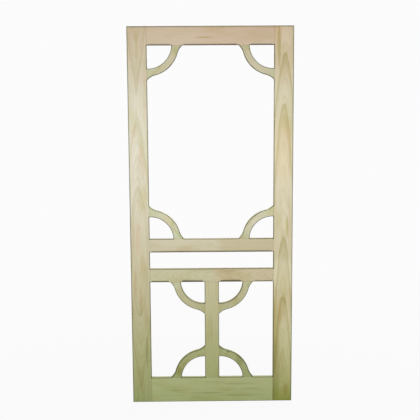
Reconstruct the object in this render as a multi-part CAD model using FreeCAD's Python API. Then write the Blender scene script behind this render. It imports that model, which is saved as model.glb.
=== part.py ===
"""Wooden screen door: a stile-and-rail frame with arched corner brackets.

Two full-height stiles carry four rails on blind tenons. A centre mullion, tenoned too,
divides the space under the lower middle rail. Arched brackets are glued into the corners
of the upper opening and into the corners on both sides of the mullion. All boards have
one thickness and lie flush, front and back. A router has rounded the rims of the leaf and
of its openings, straight across the joints.

Millimetres. X runs from the hinge edge to the latch edge, the front faces -Y, Z is up.
The origin is on the hinge edge, at the foot of the door and in the middle of its thickness.
"""

import FreeCAD
import Part

import math
import os

# Overall size
DOOR_WIDTH = 914.0
DOOR_HEIGHT = 2134.0
DOOR_THICKNESS = 28.6

# Widths of the boards, across their grain
STILE_WIDTH = 108.0
TOP_RAIL_WIDTH = 104.0
UPPER_MIDDLE_RAIL_WIDTH = 77.0
LOWER_MIDDLE_RAIL_WIDTH = 77.0
BOTTOM_RAIL_WIDTH = 145.0
MULLION_WIDTH = 81.0

# Clear heights between the rails; the upper opening takes what is left
LOWER_OPENING_HEIGHT = 563.0
SLOT_HEIGHT = 95.0

# Arched bracket: a quarter ring near its corner, with a flared foot at each end. The ring's
# centre is shifted along the rail and into it, so the bracket is a little wider than tall.
BRACKET_INNER_RADIUS = 130.0
BRACKET_BAND_WIDTH = 40.5
BRACKET_CENTRE_SHIFT = 5.0
FLARE_RADIUS = 90.0
FLARE_MEETING_ANGLE = 48.0

# Tenons, in the middle of the thickness, and the room that their mortises leave them
TENON_THICKNESS = 9.5
TENON_SHOULDER = 14.0
RAIL_TENON_LENGTH = 60.0
MULLION_TENON_LENGTH = 30.0
MORTISE_SIDE_ROOM = 0.15
MORTISE_END_ROOM = 2.0

# Rounding of the rims of the leaf and of its openings: the router's bit, and the angle at which its arc meets
# the faces. Its cut has some room outside the wood, and two cuts reach past the corner where they are mitred.
ROUTED_EDGE_RADIUS = 5.5
ROUTED_EDGE_MEETING_ANGLE = 14.0
ROUTER_ROOM = 1.0
MITRE_REACH = 2 * ROUTED_EDGE_RADIUS

# Places that follow from the sizes above
FRONT_FACE = -DOOR_THICKNESS / 2
STILE_INNER_LEFT = STILE_WIDTH
STILE_INNER_RIGHT = DOOR_WIDTH - STILE_WIDTH
MULLION_LEFT = (DOOR_WIDTH - MULLION_WIDTH) / 2
MULLION_RIGHT = MULLION_LEFT + MULLION_WIDTH
BOTTOM_RAIL_TOP = BOTTOM_RAIL_WIDTH
LOWER_MIDDLE_RAIL_FOOT = BOTTOM_RAIL_TOP + LOWER_OPENING_HEIGHT
LOWER_MIDDLE_RAIL_TOP = LOWER_MIDDLE_RAIL_FOOT + LOWER_MIDDLE_RAIL_WIDTH
UPPER_MIDDLE_RAIL_FOOT = LOWER_MIDDLE_RAIL_TOP + SLOT_HEIGHT
UPPER_MIDDLE_RAIL_TOP = UPPER_MIDDLE_RAIL_FOOT + UPPER_MIDDLE_RAIL_WIDTH
TOP_RAIL_FOOT = DOOR_HEIGHT - TOP_RAIL_WIDTH

# Foot and top of each rail
RAIL_LEVELS = {
    "top_rail": (TOP_RAIL_FOOT, DOOR_HEIGHT),
    "upper_middle_rail": (UPPER_MIDDLE_RAIL_FOOT, UPPER_MIDDLE_RAIL_TOP),
    "lower_middle_rail": (LOWER_MIDDLE_RAIL_FOOT, LOWER_MIDDLE_RAIL_TOP),
    "bottom_rail": (0.0, BOTTOM_RAIL_TOP),
}

ALONG_X = FreeCAD.Vector(1, 0, 0)
ALONG_Y = FreeCAD.Vector(0, 1, 0)
ALONG_Z = FreeCAD.Vector(0, 0, 1)
SMOOTH_JOINT = 0.01


def block(x_span, z_span, thickness=DOOR_THICKNESS):
    """A box in the middle of the door's thickness."""
    size = (x_span[1] - x_span[0], thickness, z_span[1] - z_span[0])
    return Part.makeBox(*size, FreeCAD.Vector(x_span[0], -thickness / 2, z_span[0]))


def grown(span, amount):
    """The span with the amount added at both its ends."""
    return (span[0] - amount, span[1] + amount)


def rail_tongue(name, side_room=0.0, end_room=0.0):
    """The bar whose ends are a rail's tenons or, with room around it, their mortises."""
    x_span = grown((STILE_INNER_LEFT, STILE_INNER_RIGHT), RAIL_TENON_LENGTH + end_room)
    z_span = grown(RAIL_LEVELS[name], side_room - TENON_SHOULDER)
    return block(x_span, z_span, TENON_THICKNESS + 2 * side_room)


def mullion_tongue(side_room=0.0, end_room=0.0):
    """The bar whose ends are the mullion's tenons or, with room around it, their mortises."""
    x_span = grown((MULLION_LEFT, MULLION_RIGHT), side_room - TENON_SHOULDER)
    z_span = grown((BOTTOM_RAIL_TOP, LOWER_MIDDLE_RAIL_FOOT), MULLION_TENON_LENGTH + end_room)
    return block(x_span, z_span, TENON_THICKNESS + 2 * side_room)


def plain_boards():
    """The straight boards by name, without their joints."""
    full_height = (0.0, DOOR_HEIGHT)
    between_stiles = (STILE_INNER_LEFT, STILE_INNER_RIGHT)
    boards = {
        "hinge_stile": block((0.0, STILE_INNER_LEFT), full_height),
        "latch_stile": block((STILE_INNER_RIGHT, DOOR_WIDTH), full_height),
    }
    for name, level in RAIL_LEVELS.items():
        boards[name] = block(between_stiles, level)
    boards["centre_mullion"] = block((MULLION_LEFT, MULLION_RIGHT), (BOTTOM_RAIL_TOP, LOWER_MIDDLE_RAIL_FOOT))
    return boards


def jointed(boards):
    """The straight boards with their tenons and mortises."""
    rail_mortises = [rail_tongue(name, MORTISE_SIDE_ROOM, MORTISE_END_ROOM) for name in RAIL_LEVELS]
    mullion_mortises = mullion_tongue(MORTISE_SIDE_ROOM, MORTISE_END_ROOM)
    made = {}
    for name, board in boards.items():
        if name in RAIL_LEVELS:
            made[name] = board.fuse(rail_tongue(name)).cut(mullion_mortises)
        elif name == "centre_mullion":
            made[name] = board.fuse(mullion_tongue())
        else:
            made[name] = board.cut(rail_mortises)
    return made


def bracket_leg(centre_along, centre_off):
    """Points of a bracket's leg, as distances along and off the board that it stands on.

    The ring's centre is given in the same way. The points are the end of the inner arc, the tip
    of the foot, the middle of the flare, and the place where the flare leaves the outer arc.
    """
    reach = BRACKET_INNER_RADIUS + BRACKET_BAND_WIDTH + FLARE_RADIUS
    meeting = math.radians(FLARE_MEETING_ANGLE)
    turn = math.asin((FLARE_RADIUS * math.sin(meeting) - centre_off) / reach)
    flare_along = centre_along + reach * math.cos(turn)
    flare_off = centre_off + reach * math.sin(turn)

    def on_flare(angle):
        return (flare_along - FLARE_RADIUS * math.cos(angle), flare_off - FLARE_RADIUS * math.sin(angle))

    inner_end = (centre_along + math.sqrt(BRACKET_INNER_RADIUS**2 - centre_off**2), 0.0)
    return inner_end, on_flare(meeting), on_flare((turn + meeting) / 2), on_flare(turn)


def bracket_outline():
    """Outline of a bracket in X and Z, with its corner at the origin and both legs positive."""
    shift = BRACKET_CENTRE_SHIFT
    on_rail = [FreeCAD.Vector(along, 0, off) for along, off in bracket_leg(shift, -shift)]
    on_upright = [FreeCAD.Vector(off, 0, along) for along, off in bracket_leg(-shift, shift)]
    centre = FreeCAD.Vector(shift, 0, -shift)
    diagonal = FreeCAD.Vector(1, 0, 1).normalize()
    inner_middle = centre + diagonal * BRACKET_INNER_RADIUS
    outer_middle = centre + diagonal * (BRACKET_INNER_RADIUS + BRACKET_BAND_WIDTH)
    rail_end, rail_foot, rail_flare, rail_flare_start = on_rail
    upright_end, upright_foot, upright_flare, upright_flare_start = on_upright
    curves = [
        Part.Arc(upright_end, inner_middle, rail_end),
        Part.LineSegment(rail_end, rail_foot),
        Part.Arc(rail_foot, rail_flare, rail_flare_start),
        Part.Arc(rail_flare_start, outer_middle, upright_flare_start),
        Part.Arc(upright_flare_start, upright_flare, upright_foot),
        Part.LineSegment(upright_foot, upright_end),
    ]
    return Part.Wire([curve.toShape() for curve in curves])


def bracket_blank():
    """A bracket in its own corner frame."""
    face = Part.Face(bracket_outline())
    face.translate(FreeCAD.Vector(0, FRONT_FACE, 0))
    return face.extrude(FreeCAD.Vector(0, DOOR_THICKNESS, 0))


def bracket(blank, x_corner, z_corner, toward_latch, upward):
    """A bracket set into a corner, with its legs running in the given senses."""
    placed = blank.copy()
    if not toward_latch:
        placed = placed.mirror(FreeCAD.Vector(), ALONG_X)
    if not upward:
        placed = placed.mirror(FreeCAD.Vector(), ALONG_Z)
    placed.translate(FreeCAD.Vector(x_corner, 0, z_corner))
    return placed


def brackets():
    """The brackets by name, each in its corner of an opening."""
    blank = bracket_blank()
    upper_sides = {"left": (STILE_INNER_LEFT, True), "right": (STILE_INNER_RIGHT, False)}
    upper_levels = {"top": (TOP_RAIL_FOOT, False), "bottom": (UPPER_MIDDLE_RAIL_TOP, True)}
    lower_sides = {"left": (MULLION_LEFT, False), "right": (MULLION_RIGHT, True)}
    lower_levels = {"top": (LOWER_MIDDLE_RAIL_FOOT, False), "bottom": (BOTTOM_RAIL_TOP, True)}
    openings = {"upper": (upper_sides, upper_levels), "lower": (lower_sides, lower_levels)}
    made = {}
    for opening, (sides, levels) in openings.items():
        for level, (z_corner, upward) in levels.items():
            for side, (x_corner, toward_latch) in sides.items():
                name = f"{opening}_bracket_{level}_{side}"
                made[name] = bracket(blank, x_corner, z_corner, toward_latch, upward)
    return made


def router_section(start, into_wood):
    """The router's cut across a rim of the front face, at a point of the rim."""
    radius = ROUTED_EDGE_RADIUS
    meeting = math.radians(ROUTED_EDGE_MEETING_ANGLE)
    reach = radius * (math.cos(meeting) - math.sin(meeting))
    mid_arc = radius * (math.cos(meeting) - math.sqrt(0.5))

    def at(across, deep):
        return start + into_wood * across + ALONG_Y * deep

    corners = [
        at(0, reach),
        at(-ROUTER_ROOM, reach),
        at(-ROUTER_ROOM, -ROUTER_ROOM),
        at(reach, -ROUTER_ROOM),
        at(reach, 0),
    ]
    curves = [Part.LineSegment(one, other) for one, other in zip(corners, corners[1:])]
    curves.append(Part.Arc(corners[-1], at(mid_arc, mid_arc), corners[0]))
    return Part.Face(Part.Wire([curve.toShape() for curve in curves]))


def router_run(edge, face, past_ends=0.0):
    """The router's cut along one edge of a rim of the front face, going on past both its ends."""
    curve = edge.Curve
    curved = isinstance(curve, Part.Circle)
    first, last = edge.ParameterRange
    middle = (first + last) / 2
    beside_middle = edge.valueAt(middle) + edge.tangentAt(middle).cross(ALONG_Y) * ROUTER_ROOM
    wood_side = 1 if face.isInside(beside_middle, 0.01, True) else -1
    extra = past_ends / curve.Radius if curved else past_ends
    forward = curve.tangent(first - extra)[0]
    section = router_section(curve.value(first - extra), forward.cross(ALONG_Y) * wood_side)
    sweep = last - first + 2 * extra
    if curved:
        return section.revolve(curve.Center, curve.Axis, math.degrees(sweep))
    return section.extrude(forward * sweep)


def router_cut(rim, face):
    """The router's cut along a whole rim of the front face, mitred in the corners."""
    edges = rim.OrderedEdges
    cuts = [router_run(edge, face) for edge in edges]
    for edge, edge_before, vertex in zip(edges, edges[-1:] + edges[:-1], rim.OrderedVertexes):
        meeting = (edge, edge_before)
        forward, forward_before = [one.Curve.tangent(one.Curve.parameter(vertex.Point))[0] for one in meeting]
        if forward.cross(forward_before).Length > SMOOTH_JOINT:
            reaching, reaching_before = [router_run(one, face, MITRE_REACH) for one in meeting]
            cuts.append(reaching.common(reaching_before))
    return cuts[0].multiFuse(cuts[1:])


def router_cuts(boards):
    """The router's cuts along every rim of the leaf that the boards make up, front and back."""
    leaf = boards[0].multiFuse(boards[1:]).removeSplitter()
    front = min(leaf.Faces, key=lambda face: face.CenterOfMass.y)
    cuts = [router_cut(rim, front) for rim in front.Wires]
    return cuts + [cut.mirror(FreeCAD.Vector(), ALONG_Y) for cut in cuts]


def door():
    """Every piece of the door by name."""
    boards = plain_boards()
    arches = brackets()
    cuts = router_cuts([*boards.values(), *arches.values()])
    made = {}
    for name, piece in {**jointed(boards), **arches}.items():
        reaching = [cut for cut in cuts if cut.BoundBox.intersect(piece.BoundBox)]
        made[name] = piece.cut(reaching).removeSplitter()
    return made


os.makedirs("parts", exist_ok=True)
for node, shape in door().items():
    shape.exportStep(f"parts/{node}.step")
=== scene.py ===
"""Looks of the wooden screen door: unfinished pine on every board, a pale floor, soft light and a camera."""

import math

import bpy
from mathutils import Matrix, Vector


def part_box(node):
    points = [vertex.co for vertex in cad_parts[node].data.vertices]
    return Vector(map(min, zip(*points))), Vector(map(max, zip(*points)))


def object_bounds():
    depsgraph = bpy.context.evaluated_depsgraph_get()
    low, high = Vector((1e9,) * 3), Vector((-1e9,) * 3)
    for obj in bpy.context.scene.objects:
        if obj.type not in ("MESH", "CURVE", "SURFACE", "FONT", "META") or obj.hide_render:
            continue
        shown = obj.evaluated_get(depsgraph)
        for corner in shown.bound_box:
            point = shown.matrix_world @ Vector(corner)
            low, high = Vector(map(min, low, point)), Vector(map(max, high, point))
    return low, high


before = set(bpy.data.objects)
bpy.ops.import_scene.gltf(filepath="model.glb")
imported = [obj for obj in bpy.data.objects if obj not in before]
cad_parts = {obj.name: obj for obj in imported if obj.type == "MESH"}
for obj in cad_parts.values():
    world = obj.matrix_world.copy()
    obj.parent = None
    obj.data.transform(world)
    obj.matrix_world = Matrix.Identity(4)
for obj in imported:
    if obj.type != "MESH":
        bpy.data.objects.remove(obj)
cad_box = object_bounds()
bpy.ops.object.select_all(action="DESELECT")

HINGE_EDGE = cad_box[0].x
LATCH_EDGE = cad_box[1].x
DOOR_MIDDLE = (HINGE_EDGE + LATCH_EDGE) / 2
DOOR_HEIGHT = cad_box[1].z
FRONT_FACE = cad_box[0].y


def paint(red, green, blue):
    """A colour as a painter's chart gives it, 0 to 255, in the renderer's own light values."""
    parts = []
    for value in (red, green, blue):
        share = value / 255
        parts.append(share / 12.92 if share <= 0.04045 else ((share + 0.055) / 1.055) ** 2.4)
    return (*parts, 1.0)


def stain(red, green, blue):
    """A stain, as the shares of red, green and blue that it lets through."""
    return (red, green, blue, 1.0)


def set_stops(ramp, stops):
    """Sets a ramp's stops, each a place with a grey or a colour."""
    while len(ramp.elements) > 1:
        ramp.elements.remove(ramp.elements[-1])
    for number, (place, tone) in enumerate(stops):
        stop = ramp.elements.new(place) if number else ramp.elements[0]
        stop.position = place
        stop.color = tone if isinstance(tone, tuple) else (tone, tone, tone, 1.0)


class Wire:
    """An output of a material's nodes. Sums on wires add Math nodes to the material."""

    def __init__(self, tree, socket=None):
        self.tree = tree
        self.socket = socket

    def node(self, kind, settings, sockets, output=0):
        """Adds a node, sets it up, fills or links its sockets, and gives one of its outputs."""
        made = self.tree.nodes.new(kind)
        for name, setting in settings.items():
            if name == "stops":
                set_stops(made.color_ramp, setting)
            else:
                setattr(made, name, setting)
        for name, value in sockets.items():
            if isinstance(value, Wire):
                self.tree.links.new(value.socket, made.inputs[name])
            else:
                made.inputs[name].default_value = value
        return Wire(self.tree, made.outputs[output] if made.outputs else None)

    def math(self, operation, *others):
        """A sum whose first term is this wire."""
        return self.node("ShaderNodeMath", {"operation": operation}, dict(enumerate((self, *others))))

    def ramp(self, stops):
        """The grey or colour that a ramp gives for this value."""
        return self.node("ShaderNodeValToRGB", {"stops": stops}, {"Fac": self})

    def between(self, low, high):
        """0 at low and 1 at high, with a smooth change between them and none beyond."""
        settings = {"interpolation_type": "SMOOTHSTEP"}
        return self.node("ShaderNodeMapRange", settings, {"Value": self, "From Min": low, "From Max": high})

    def stained(self, share, colour):
        """This colour with a stain over it, as strong as the share says."""
        settings = {"data_type": "RGBA", "blend_type": "MULTIPLY"}
        return self.node("ShaderNodeMix", settings, {0: share, 6: self, 7: colour}, 2)

    def split(self):
        """The three parts of this vector."""
        first = self.node("ShaderNodeSeparateXYZ", {}, {0: self})
        return [Wire(self.tree, socket) for socket in first.socket.node.outputs]

    def __add__(self, other):
        return self.math("ADD", other)

    __radd__ = __add__

    def __sub__(self, other):
        return self.math("SUBTRACT", other)

    def __rsub__(self, other):
        return self.node("ShaderNodeMath", {"operation": "SUBTRACT"}, {0: other, 1: self})

    def __mul__(self, other):
        return self.math("MULTIPLY", other)

    __rmul__ = __mul__

    def __truediv__(self, other):
        return self.math("DIVIDE", other)

    def __abs__(self):
        return self.math("ABSOLUTE")


def bare_bench(holder):
    """A material's or world's own nodes, emptied and ready to build on."""
    holder.use_nodes = True
    holder.node_tree.nodes.clear()
    return Wire(holder.node_tree)


# Pine by its height on the door, from the foot up, before its rings and streaks. Its fall towards the foot,
# darker and greener, is painted shade with a painted green cast of bounced light
PINE_AND_PAINTED_SHADE_BY_HEIGHT = [
    (0.00, paint(155, 163, 108)),
    (0.14, paint(173, 172, 125)),
    (0.34, paint(198, 189, 156)),
    (0.60, paint(220, 214, 194)),
    (0.84, paint(210, 203, 180)),
    (1.00, paint(195, 176, 146)),
]

# A broad year's growth, from the pith outwards: pale, then a dark band that ends sharply
GROWTH_ZONE = [(0.0, 0.0), (0.45, 0.08), (0.8, 0.55), (0.955, 1.0), (0.98, 0.08), (1.0, 0.0)]
# A narrow ring: mostly pale, with a thin dark line of late wood
NARROW_RING = [(0.0, 0.0), (0.55, 0.15), (0.85, 1.0), (0.95, 0.2), (1.0, 0.0)]
NARROW_RING_WIDTH = 0.0031

# Stains of the wood itself
LATE_WOOD = stain(0.68, 0.64, 0.42)
RING_LINE = stain(0.82, 0.77, 0.66)
OLIVE = stain(0.88, 0.93, 0.79)
OLIVE_END = stain(0.90, 0.95, 0.84)
ROSE = stain(0.99, 0.90, 0.85)
SHADED_STREAK = stain(0.86, 0.80, 0.70)
RESIN_STREAK = stain(0.80, 0.77, 0.56)
BROWN_STREAK = stain(0.88, 0.77, 0.63)
GREEN_STREAK = stain(0.77, 0.78, 0.68)
FAINT_BROWN = stain(0.92, 0.84, 0.73)
TAN_ZONE = stain(0.92, 0.89, 0.80)
PINK_ZONE = stain(1.0, 0.96, 0.95)
GREEN_ZONE = stain(0.95, 1.0, 0.97)
PALE_ZONE = stain(1.06, 1.07, 1.09)
HONEY_ZONE = stain(1.02, 0.975, 0.88)
WARM_FOOT = stain(1.16, 1.12, 1.20)
DARK_FOOT = stain(0.68, 0.70, 0.33)
PALE_PATCH = stain(1.08, 1.12, 1.22)
KNOT = stain(0.55, 0.60, 0.50)

# Stains of end grain, joints and a greyer outer band, and painted shade on sides, rims and under the rails
# Painted shade: the sides of the boards darker than their faces
PAINTED_SIDE_SHADE = stain(0.82, 0.78, 0.68)
END_GRAIN = stain(0.74, 0.66, 0.54)
JOINT_LINE = stain(0.45, 0.42, 0.34)
# Painted shade: a dark outline on the rounded rims of every edge
PAINTED_RIM_SHADE = stain(0.20, 0.245, 0.17)
# A greyer band along the door's outer sides and head
GREY_EDGE_BAND = stain(0.70, 0.76, 0.72)
# Painted shade under the rails, and deeper painted shade over the small openings
PAINTED_UNDER_SHADE = stain(0.26, 0.24, 0.22)
PAINTED_DARKEST_SHADE = stain(0.40, 0.38, 0.36)

# The wood's marks as noise: its lumps to a metre across, through and along the grain
PITH_WANDER = (3.0, 3.0, 1.4)
DEPTH_WANDER = (5.0, 5.0, 2.0)
YEAR_WAVER = (60.0, 60.0, 5.0)
RING_WAVER = (90.0, 90.0, 6.0)
FIBRES = (900.0, 900.0, 18.0)
STREAKS = (160.0, 160.0, 6.0)
BANDS = (45.0, 45.0, 2.4)
OLIVE_PATCHES = (16.0, 16.0, 5.0)
ROSE_PATCHES = (19.0, 19.0, 5.6)
# Detail and roughness of that noise, and the step from one board's noise to the next board's
PLAIN_DETAIL = 2.0
FIBRE_DETAIL = 3.0
NOISE_ROUGHNESS = 0.55
NOISE_STEP = 3.7

# How far the pith wanders sideways and in depth, in metres, how far years and rings waver, in their widths,
# and the strength of the faintest year
PITH_SHIFT = 0.02
DEPTH_SHIFT = 0.006
YEAR_SHIFT = 0.25
RING_SHIFT = 0.4
FAINTEST_YEAR = 0.1

# Where the noise of patches, shaded bands and fibres starts to show and where it is full, how ragged shaded
# bands are, and how strongly fibres and rings show
PATCH_EDGE = (0.0, 0.2)
SHADED_BANDS = (0.02, 0.35)
SHADE_RAGGED = 0.35
DARK_FIBRES = (-0.1, 0.3)
FIBRE_SHOWS = 0.55
RING_SHOWS = 0.4
# The soft edges of zones, of a bracket's olive ends and of single streaks, these in half sizes squared
ZONE_RAGGED = 0.1
OLIVE_END_REACH = (0.05, 0.11)
OLIVE_END_RAGGED = 0.04
STREAK_EDGE = (1.1, 0.1)

# How far forward a surface faces where sides turn to rims, rims to faces, and faces are flat
SIDE_TO_FACE = (0.15, 0.6)
SIDE_TO_RIM = (0.05, 0.3)
RIM_TO_FACE = (0.9, 0.985)
FLAT_FACE = (0.985, 0.995)
# How far along its grain a surface faces where it is cut across, and how far up where it is an underside
CUT_ACROSS = (0.5, 0.95)
UNDERSIDE = (-0.1, -0.4)
# The strength of the painted shade on the rims, and how much streaks vary it
RIM_SHADE_STRENGTH = 0.9
RIM_RAGGED = 0.8
# How far from the line a joint starts to show and shows in full
JOINT_WIDTH = (0.0016, 0.0006)

# How far a greyer band reaches in from the door's outer sides and down from its head, the share of that
# reach where it is full, and how ragged its edge is
SIDE_BAND_REACH = 0.008
HEAD_BAND_REACH = 0.011
FULL_BAND_SHARE = 0.5
EDGE_BAND_RAGGED = 0.006

# How far the painted shade under a rail's lower edge reaches up its face, in the open, over the slot between
# the middle rails and over the brackets' small openings
THIN_UNDER_SHADE = 0.0070
SLOT_UNDER_SHADE = 0.0080
WIDE_UNDER_SHADE = 0.0100
# The softness of its upper edge, how ragged bands and streaks make it, and the length over which its ends
# thin out
UNDER_SHADE_SOFTNESS = 0.005
UNDER_SHADE_BAND = 0.010
UNDER_SHADE_STREAK = 0.005
UNDER_SHADE_ENDS = 0.014

# The relief of a board's face, by its marks, and its sheen
BUMP_STRENGTH = 0.35
BUMP_DEPTH = 0.0004
FIBRE_RELIEF = 0.6
STREAK_RELIEF = 0.3
RING_RELIEF = 0.3
DRY_ROUGHNESS = 0.66
FIBRE_ROUGHNESS = 0.25
LATE_WOOD_SMOOTHNESS = 0.06
DRY_SHEEN = 0.3

UPRIGHT = 0.0
LEVEL = math.radians(90)
RISING = math.radians(45)
FALLING = math.radians(-45)

HINGE_STILE_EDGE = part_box("hinge_stile")[1].x
LATCH_STILE_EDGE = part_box("latch_stile")[0].x
STILE_FACES = [("x", HINGE_STILE_EDGE), ("x", LATCH_STILE_EDGE)]
RAIL_FACES = [("z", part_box("bottom_rail")[1].z), ("z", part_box("lower_middle_rail")[0].z)]
GREY_HEAD_BAND = ("z", DOOR_HEIGHT, HEAD_BAND_REACH)

# How far a bracket's foot reaches along a rail, from its tip
BRACKET_FOOT = 0.060


def open_under_top_rail():
    """The spans of the top rail's lower edge that no bracket meets, each with the reach of its painted shade.
    """
    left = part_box("upper_bracket_top_left")[1].x
    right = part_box("upper_bracket_top_right")[0].x
    return [
        (HINGE_STILE_EDGE, left - BRACKET_FOOT, THIN_UNDER_SHADE),
        (left, right, THIN_UNDER_SHADE),
        (right + BRACKET_FOOT, LATCH_STILE_EDGE, THIN_UNDER_SHADE),
    ]


def small_openings():
    """The spans of the lower middle rail's lower edge between its brackets' feet and the mullion."""
    left, mullion_left = (corner.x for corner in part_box("lower_bracket_top_left"))
    mullion_right, right = (corner.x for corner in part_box("lower_bracket_top_right"))
    return [(left + BRACKET_FOOT, mullion_left), (mullion_right, right - BRACKET_FOOT)]


def open_under_middle_rail():
    """The spans of the lower middle rail's lower edge that neither a bracket nor the mullion meets."""
    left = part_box("lower_bracket_top_left")[0].x
    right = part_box("lower_bracket_top_right")[1].x
    return [
        (HINGE_STILE_EDGE, left, THIN_UNDER_SHADE),
        *((start, end, WIDE_UNDER_SHADE) for start, end in small_openings()),
        (right, LATCH_STILE_EDGE, THIN_UNDER_SHADE),
    ]


# How a board lies in its log: the pith is beside and behind it, leans and swells along it, and the years'
# growth has a width. Then its looks: how strongly the years mark it and which of them most, its tone, its
# patches, the zones that differ, its olive ends, and single streaks with their x and z, half width and half
# height. Last its edges: the greyer bands along its outer edges, the spans of its lower edge with painted
# shade, those with deeper painted shade as well, and the faces that it is joined to.
PLAIN_BOARD = {
    "turn": UPRIGHT, "pith": (0.0, 0.1), "lean": 0.0, "swell": (0.002, 0.5, 0.0), "ring": 0.008,
    "marked": 0.3, "years_from": 0, "tone": (1.0, 1.0, 1.0), "blotch": 0.8, "patch": 1.0,
    "zones": [], "olive_ends": 0.0, "streaks": [],
    "grey_edge_bands": [], "under_shade_spans": [], "deepest_shade_runs": [], "joints": [],
}
BOARDS = {
    "hinge_stile": {
        "pith": (-0.004, 0.100), "swell": (0.014, 1.72, 0.678), "marked": 0.45, "tone": (0.98, 0.99, 1.01),
        "streaks": [
            (0.052, 2.03, 0.010, 0.10, OLIVE),
            (0.054, 1.55, 0.080, 0.26, PALE_ZONE),
            (0.045, 0.96, 0.016, 0.12, ROSE),
            (0.025, 0.70, 0.008, 0.09, FAINT_BROWN),
            (0.055, 0.59, 0.010, 0.09, FAINT_BROWN),
            (0.085, 0.30, 0.010, 0.11, GREEN_STREAK),
        ],
        "grey_edge_bands": [("x", HINGE_EDGE, SIDE_BAND_REACH), GREY_HEAD_BAND],
    },
    "latch_stile": {
        "pith": (0.004, 0.10435), "lean": 0.02682, "swell": (0.0007, 1.38, -0.29), "ring": 0.009,
        "marked": 1.0, "years_from": 4045, "tone": (1.02, 1.01, 0.96),
        "zones": [("z", 0.75, 0.50, WARM_FOOT), ("z", 0.16, 0.0, DARK_FOOT)],
        "streaks": [
            (0.875, 2.10, 0.050, 0.09, PALE_PATCH),
            (0.833, 2.02, 0.010, 0.14, RESIN_STREAK),
            (0.860, 1.46, 0.080, 0.26, HONEY_ZONE),
            (0.883, 1.024, 0.009, 0.078, RESIN_STREAK),
            (0.860, 0.750, 0.080, 0.12, PALE_PATCH),
            (0.860, 0.755, 0.080, 0.10, PALE_ZONE),
            (0.843, 0.53, 0.014, 0.09, FAINT_BROWN),
            (0.806, 0.38, 0.034, 0.30, RESIN_STREAK),
            (0.806, 0.18, 0.050, 0.24, GREEN_STREAK),
            (0.885, 0.36, 0.040, 0.21, PALE_PATCH),
            (0.880, 0.07, 0.016, 0.05, BROWN_STREAK),
        ],
        "grey_edge_bands": [("x", LATCH_EDGE, SIDE_BAND_REACH), GREY_HEAD_BAND],
    },
    "top_rail": {
        "turn": LEVEL, "pith": (-0.16, 0.05), "lean": 0.006, "swell": (0.002, 0.5, 0.1), "ring": 0.007,
        "marked": 0.25, "tone": (1.02, 1.02, 1.10), "blotch": 0.45,
        "zones": [("x", 0.3, 0.5, PINK_ZONE)],
        "streaks": [(0.422, 2.072, 0.06, 0.006, RESIN_STREAK)],
        "grey_edge_bands": [GREY_HEAD_BAND], "under_shade_spans": open_under_top_rail(), "joints": STILE_FACES,
    },
    "upper_middle_rail": {
        "turn": LEVEL, "pith": (0.12, 0.07), "lean": 0.012, "swell": (0.003, 0.6, 0.0),
        "marked": 0.25, "tone": (0.97, 0.98, 1.0),
        "zones": [("x", 0.47, 0.53, TAN_ZONE)],
        "streaks": [(0.25, 0.895, 0.14, 0.018, PINK_ZONE)],
        "under_shade_spans": [(HINGE_STILE_EDGE, LATCH_STILE_EDGE, SLOT_UNDER_SHADE)], "joints": STILE_FACES,
    },
    "lower_middle_rail": {
        "turn": LEVEL, "pith": (0.0, 0.1075), "lean": -0.06, "swell": (0.001, 0.5, 0.2), "ring": 0.012,
        "marked": 0.38, "years_from": 53, "tone": (0.99, 1.0, 1.02),
        "zones": [("x", 0.46, 0.50, PINK_ZONE), ("x", 0.50, 0.46, GREEN_ZONE)],
        "under_shade_spans": open_under_middle_rail(), "deepest_shade_runs": small_openings(), "joints": STILE_FACES,
    },
    "bottom_rail": {
        "turn": LEVEL, "pith": (-0.09, 0.05), "lean": 0.010, "swell": (0.004, 0.5, -0.1),
        "marked": 0.35, "tone": (1.16, 1.19, 1.32),
        "streaks": [
            (0.60, 0.105, 0.14, 0.0045, GREEN_STREAK),
            (0.47, 0.118, 0.08, 0.004, GREEN_STREAK),
            (0.43, 0.052, 0.12, 0.005, GREEN_STREAK),
            (0.62, 0.036, 0.16, 0.005, GREEN_STREAK),
            (0.26, 0.067, 0.05, 0.004, GREEN_STREAK),
            (0.68, 0.078, 0.07, 0.004, GREEN_STREAK),
        ],
        "joints": STILE_FACES,
    },
    "centre_mullion": {
        "pith": (0.10, 0.06), "lean": 0.02, "tone": (0.97, 1.01, 0.98), "blotch": 0.6, "joints": RAIL_FACES,
    },
}
BRACKET_STREAKS = {
    "upper_bracket_top_left": [
        (0.262, 2.000, 0.018, 0.030, OLIVE),
    ],
    "upper_bracket_bottom_left": [
        (0.240, 1.050, 0.014, 0.030, OLIVE),
        (0.214, 1.060, 0.040, 0.040, HONEY_ZONE),
        (0.268, 0.985, 0.030, 0.035, PALE_PATCH),
    ],
    "upper_bracket_bottom_right": [
        (0.790, 1.110, 0.035, 0.045, HONEY_ZONE),
        (0.700, 1.060, 0.030, 0.030, PALE_ZONE),
    ],
    "lower_bracket_top_left": [
        (0.255, 0.685, 0.030, 0.030, PALE_PATCH),
    ],
    "lower_bracket_top_right": [
        (0.662, 0.688, 0.012, 0.016, OLIVE),
        (0.655, 0.680, 0.030, 0.035, PALE_ZONE),
        (0.590, 0.600, 0.030, 0.030, TAN_ZONE),
    ],
    "lower_bracket_bottom_left": [
        (0.268, 0.185, 0.020, 0.040, RESIN_STREAK),
        (0.395, 0.305, 0.030, 0.030, PALE_ZONE),
    ],
    "lower_bracket_bottom_right": [
        (0.522, 0.292, 0.020, 0.030, PALE_PATCH),
        (0.520, 0.300, 0.030, 0.030, PALE_ZONE),
        (0.547, 0.297, 0.009, 0.006, KNOT),
        (0.615, 0.250, 0.022, 0.050, GREEN_STREAK),
    ],
}
OLIVE_BY_LEVEL = {"upper": 1.0, "lower": 0.3}


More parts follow.
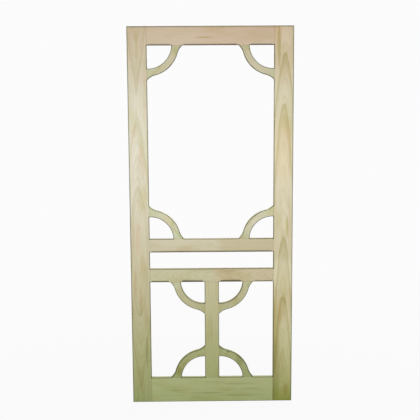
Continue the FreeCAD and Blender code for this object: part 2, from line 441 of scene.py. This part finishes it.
def bracket_board(level, corner):
    """A bracket's board: its grain runs from foot to foot, and it sits on a rail and an upright."""
    node = f"{level}_bracket_{corner}"
    low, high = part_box(node)
    upright_is_left = corner.endswith("left") == (level == "upper")
    upright_face = low.x if upright_is_left else high.x
    rail_face = high.z if corner.startswith("top") else low.z
    rises = (corner in ("top_left", "bottom_right")) == (level == "upper")
    return {
        "turn": RISING if rises else FALLING,
        "pith": (-0.05, 0.07), "lean": 0.03, "swell": (0.002, 0.3, 0.0), "ring": 0.009,
        "tone": (0.91, 0.96, 0.93), "patch": 2.4, "olive_ends": OLIVE_BY_LEVEL[level],
        "streaks": BRACKET_STREAKS.get(node, []),
        "joints": [("x", upright_face), ("z", rail_face)],
    }


for level in ("upper", "lower"):
    for corner in ("top_left", "top_right", "bottom_left", "bottom_right"):
        BOARDS[f"{level}_bracket_{corner}"] = bracket_board(level, corner)


def wood_marks(grain, board, number):
    """The marks in a board's wood by name, and the place along its grain."""
    across, through, along = grain.split()

    def mottle(lumps, detail=PLAIN_DETAIL):
        """Soft noise about 0, with the given lumps to a metre across, through and along the grain."""
        stretched = grain.node("ShaderNodeVectorMath", {"operation": "MULTIPLY"}, {0: grain, 1: lumps})
        sockets = {
            "Vector": stretched,
            "W": NOISE_STEP * number,
            "Scale": 1.0,
            "Detail": detail,
            "Roughness": NOISE_ROUGHNESS,
        }
        return grain.node("ShaderNodeTexNoise", {"noise_dimensions": "4D"}, sockets) - 0.5

    def patches(lumps):
        """Noise for patches of the board's own size."""
        return mottle([count * board["patch"] for count in lumps])

    # Growth about the pith: broad years that show from afar, and narrow rings that show close by
    pith_beside, pith_behind = board["pith"]
    swell, swell_length, crest = board["swell"]
    wave = ((along - crest) * (2 * math.pi / swell_length)).math("COSINE")
    side = across - pith_beside + mottle(PITH_WANDER) * PITH_SHIFT
    depth = along * board["lean"] + wave * swell + pith_behind - through + mottle(DEPTH_WANDER) * DEPTH_SHIFT
    distance = (side * side + depth * depth).math("SQRT")
    years = distance / board["ring"] + mottle(YEAR_WAVER) * YEAR_SHIFT
    year = years.math("FLOOR") + board["years_from"]
    year_strength = grain.node("ShaderNodeTexWhiteNoise", {"noise_dimensions": "1D"}, {"W": year})
    year_shows = year_strength * (1.0 - FAINTEST_YEAR) + FAINTEST_YEAR
    rings = distance / NARROW_RING_WIDTH + mottle(RING_WAVER) * RING_SHIFT
    return {
        "along": along,
        "late": years.math("FRACT").ramp(GROWTH_ZONE) * year_shows,
        "ring": rings.math("FRACT").ramp(NARROW_RING),
        "fibre": mottle(FIBRES, FIBRE_DETAIL),
        "streak": mottle(STREAKS),
        "band": mottle(BANDS),
        "olive_patch": patches(OLIVE_PATCHES),
        "rose_patch": patches(ROSE_PATCHES),
    }


def clean_colour(spot, marks, board):
    """A board's clean wood: its tone by height, with painted shade towards the foot, its patches, zones,
    streaks, years, rings and fibres.
    """
    band, streak, blotch = marks["band"], marks["streak"], board["blotch"]
    # Tone by height: darker and greener towards the foot, painted shade
    colour = (spot["z"] / DOOR_HEIGHT).ramp(PINE_AND_PAINTED_SHADE_BY_HEIGHT)
    colour = colour.stained(1.0, stain(*board["tone"]))
    colour = colour.stained(marks["olive_patch"].between(*PATCH_EDGE) * blotch, OLIVE)
    colour = colour.stained(marks["rose_patch"].between(*PATCH_EDGE) * blotch, ROSE)
    if board["olive_ends"]:
        near_end = (abs(marks["along"]) + band * OLIVE_END_RAGGED).between(*OLIVE_END_REACH)
        colour = colour.stained(near_end * board["olive_ends"], OLIVE_END)
    for axis, start, end, tone in board["zones"]:
        colour = colour.stained((spot[axis] + band * ZONE_RAGGED).between(start, end), tone)
    for x, z, half_width, half_height, tone in board["streaks"]:
        off_x = (spot["x"] - x) / half_width
        off_z = (spot["z"] - z) / half_height
        off = off_x * off_x + off_z * off_z + streak + band
        colour = colour.stained(off.between(*STREAK_EDGE), tone)
    shaded = (band + streak * SHADE_RAGGED).between(*SHADED_BANDS)
    colour = colour.stained(shaded * blotch, SHADED_STREAK)
    colour = colour.stained(marks["late"] * board["marked"], LATE_WOOD)
    colour = colour.stained(marks["ring"] * RING_SHOWS, RING_LINE)
    return colour.stained(marks["fibre"].between(*DARK_FIBRES) * FIBRE_SHOWS, SHADED_STREAK)


def in_span(place, start, end):
    """1 along a span of a rail's lower edge, and less towards its ends."""
    return place.between(start, start + UNDER_SHADE_ENDS) * place.between(end, end - UNDER_SHADE_ENDS)


def marked_and_shaded_colour(colour, spot, marks, board, turn, foot):
    """That wood with end grain, a greyer band at the door's outer edges, the thin lines of its joints, and
    painted shade on its sides, its rims and under its rails.
    """
    band, streak = marks["band"], marks["streak"]
    normal = colour.node("ShaderNodeNewGeometry", {}, {}, "Normal")
    forward, upward = normal.split()[1:]
    facing = abs(forward)
    lay = {"Vector": normal, "Rotation": turn}
    turned = colour.node("ShaderNodeMapping", {"vector_type": "TEXTURE"}, lay)
    end_on = abs(turned.split()[2])
    # Painted shade: surfaces that turn away from the front made darker
    colour = colour.stained(1.0 - facing.between(*SIDE_TO_FACE), PAINTED_SIDE_SHADE)
    colour = colour.stained(end_on.between(*CUT_ACROSS), END_GRAIN)

    on_face = facing.between(*RIM_TO_FACE)
    rim = facing.between(*SIDE_TO_RIM) * (1.0 - on_face)
    # Painted shade: the rounded rims darkened into a dark outline
    colour = colour.stained(rim * (RIM_SHADE_STRENGTH + band + streak * RIM_RAGGED), PAINTED_RIM_SHADE)
    for axis, edge, reach in board["grey_edge_bands"]:
        near_edge = (abs(spot[axis] - edge) + streak * EDGE_BAND_RAGGED).between(reach, reach * FULL_BAND_SHARE)
        colour = colour.stained(near_edge * on_face, GREY_EDGE_BAND)

    # Painted shade under the rails: rims that face down, and a band of face above each lower edge, deeper
    # over the small openings
    shade_below = rim * upward.between(*UNDERSIDE)
    for start, end, reach in board["under_shade_spans"]:
        here = in_span(spot["x"], start, end)
        ragged = spot["z"] + band * UNDER_SHADE_BAND + streak * UNDER_SHADE_STREAK
        near_edge = (ragged - here * reach).between(foot + UNDER_SHADE_SOFTNESS, foot - UNDER_SHADE_SOFTNESS)
        shade_below = shade_below + facing.between(*FLAT_FACE) * near_edge * here
    colour = colour.stained(shade_below, PAINTED_UNDER_SHADE)
    for start, end in board["deepest_shade_runs"]:
        colour = colour.stained(shade_below * in_span(spot["x"], start, end), PAINTED_DARKEST_SHADE)
    for axis, face in board["joints"]:
        colour = colour.stained(abs(spot[axis] - face).between(*JOINT_WIDTH), JOINT_LINE)
    return colour


def pine(node, board, number):
    """A board's own pine, laid along its grain, with the relief of its fibres and rings."""
    material = bpy.data.materials.new(f"pine_{node}")
    bench = bare_bench(material)
    low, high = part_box(node)
    turn = (0.0, board["turn"], 0.0)
    place = bench.node("ShaderNodeTexCoord", {}, {}, "Object")
    spot = dict(zip("xyz", place.split()))
    lay = {"Vector": place, "Location": (low + high) / 2, "Rotation": turn}
    grain = bench.node("ShaderNodeMapping", {"vector_type": "TEXTURE"}, lay)
    marks = wood_marks(grain, board, number)
    colour = marked_and_shaded_colour(clean_colour(spot, marks, board), spot, marks, board, turn, low.z)

    raised = marks["fibre"] * FIBRE_RELIEF + marks["streak"] * STREAK_RELIEF
    relief = raised - marks["late"] * RING_RELIEF - marks["ring"] * RING_RELIEF
    sockets = {"Strength": BUMP_STRENGTH, "Distance": BUMP_DEPTH, "Height": relief}
    bump = bench.node("ShaderNodeBump", {}, sockets)
    sockets = {
        "Base Color": colour,
        "Roughness": DRY_ROUGHNESS + marks["fibre"] * FIBRE_ROUGHNESS - marks["late"] * LATE_WOOD_SMOOTHNESS,
        "Specular IOR Level": DRY_SHEEN,
        "Normal": bump,
    }
    wood = bench.node("ShaderNodeBsdfPrincipled", {}, sockets)
    bench.node("ShaderNodeOutputMaterial", {}, {"Surface": wood})
    return material


for number, (node, board) in enumerate(BOARDS.items()):
    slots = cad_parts[node].data.materials
    slots.clear()
    slots.append(pine(node, {**PLAIN_BOARD, **board}, number))


# The white that the floor and the world show, the floor's share of it near the door, and the distances over
# which that share grows to all
STUDIO_WHITE = (0.975, 0.970, 0.975, 1.0)
FLOOR_WHITE = 0.96
FLOOR_FADE = (0.5, 4.0)
FLOOR_GREY = (0.5, 0.5, 0.5, 1.0)
FLOOR_SIZE = 60.0
FLOOR_CENTRE = (0.45, 0.0, 0.0)
# The even light that comes from all round
FILL_WHITE = (1.0, 1.0, 1.0, 1.0)
FILL_LIGHT = 0.56


def seen_share(bench):
    """1 where the camera sees a surface, straight, mirrored or through glass, and 0 for light on the door."""
    rays = ("Is Camera Ray", "Is Glossy Ray", "Is Transmission Ray")
    straight, mirrored, through_glass = (bench.node("ShaderNodeLightPath", {}, {}, ray) for ray in rays)
    return (straight + mirrored + through_glass).math("MINIMUM", 1.0)


def studio_floor():
    """A pale floor that shows white to the camera and keeps a faint shadow of the door."""
    bpy.ops.mesh.primitive_plane_add(size=FLOOR_SIZE, location=FLOOR_CENTRE)
    floor = bpy.context.object
    floor.name = "studio_floor"
    material = bpy.data.materials.new("white_floor")
    bench = bare_bench(material)
    matt = bench.node("ShaderNodeBsdfDiffuse", {}, {"Color": FLOOR_GREY})
    glow = bench.node("ShaderNodeEmission", {}, {"Color": STUDIO_WHITE, "Strength": 1.0})
    place = bench.node("ShaderNodeTexCoord", {}, {}, "Object")
    away = bench.node("ShaderNodeVectorMath", {"operation": "LENGTH"}, {0: place}, "Value")
    white = away.between(*FLOOR_FADE) * (1.0 - FLOOR_WHITE) + FLOOR_WHITE
    surface = bench.node("ShaderNodeMixShader", {}, {0: seen_share(bench) * white, 1: matt, 2: glow})
    bench.node("ShaderNodeOutputMaterial", {}, {"Surface": surface})
    floor.data.materials.append(material)


def studio_world():
    """White where it is seen or mirrored, and a low even light on the door."""
    world = bpy.data.worlds.new("studio_world")
    bpy.context.scene.world = world
    bench = bare_bench(world)
    white = bench.node("ShaderNodeBackground", {}, {"Color": STUDIO_WHITE, "Strength": 1.0})
    fill = bench.node("ShaderNodeBackground", {}, {"Color": FILL_WHITE, "Strength": FILL_LIGHT})
    surface = bench.node("ShaderNodeMixShader", {}, {0: seen_share(bench), 1: fill, 2: white})
    bench.node("ShaderNodeOutputWorld", {}, {"Surface": surface})


def soft_lamp(name, place, target, size, watts):
    """A square soft box that shines at the target."""
    light = bpy.data.lights.new(name, "AREA")
    light.shape = "SQUARE"
    light.size = size
    light.energy = watts
    lamp = bpy.data.objects.new(name, light)
    bpy.context.scene.collection.objects.link(lamp)
    lamp.location = place
    lamp.rotation_euler = (Vector(target) - Vector(place)).to_track_quat("-Z", "Y").to_euler()
    lamp.visible_camera = False


studio_floor()
studio_world()
soft_lamp("front_lamp", place=(0.1, -3.0, 1.65), target=(DOOR_MIDDLE, 0.0, 1.3), size=1.4, watts=53.0)
soft_lamp("back_lamp", place=(1.2, 3.6, 2.4), target=(DOOR_MIDDLE, 0.0, 1.1), size=2.0, watts=86.0)
soft_lamp("top_lamp", place=(DOOR_MIDDLE, -0.3, 5.0), target=(DOOR_MIDDLE, 0.0, 1.0), size=2.0, watts=40.0)

# Camera at the photograph's viewpoint: in front of the door, looking slightly down
CAMERA_DISTANCE = 5.0
CAMERA_PLACE = (0.3888, FRONT_FACE - CAMERA_DISTANCE, 1.8825)
CAMERA_YAW = math.radians(0.695)
CAMERA_PITCH = math.radians(8.66)
CAMERA_ROLL = math.radians(0.327)
LOOK_LEVEL = math.radians(90)
SENSOR_WIDTH = 36.0
PICTURE_WIDTH = 420
FOCAL_PIXELS = 902.6


def set_camera():
    """The camera, turned by its yaw, pitch and roll from level and square on to the door."""
    data = bpy.data.cameras.new("door_camera")
    data.sensor_width = SENSOR_WIDTH
    data.lens = FOCAL_PIXELS / PICTURE_WIDTH * SENSOR_WIDTH
    camera = bpy.data.objects.new("door_camera", data)
    bpy.context.scene.collection.objects.link(camera)
    camera.matrix_world = (
        Matrix.Translation(CAMERA_PLACE)
        @ Matrix.Rotation(-CAMERA_YAW, 4, "Z")
        @ Matrix.Rotation(-CAMERA_PITCH, 4, "X")
        @ Matrix.Rotation(CAMERA_ROLL, 4, "Y")
        @ Matrix.Rotation(LOOK_LEVEL, 4, "X")
    )
    bpy.context.scene.camera = camera


set_camera()
bpy.context.scene.view_settings.view_transform = "Standard"
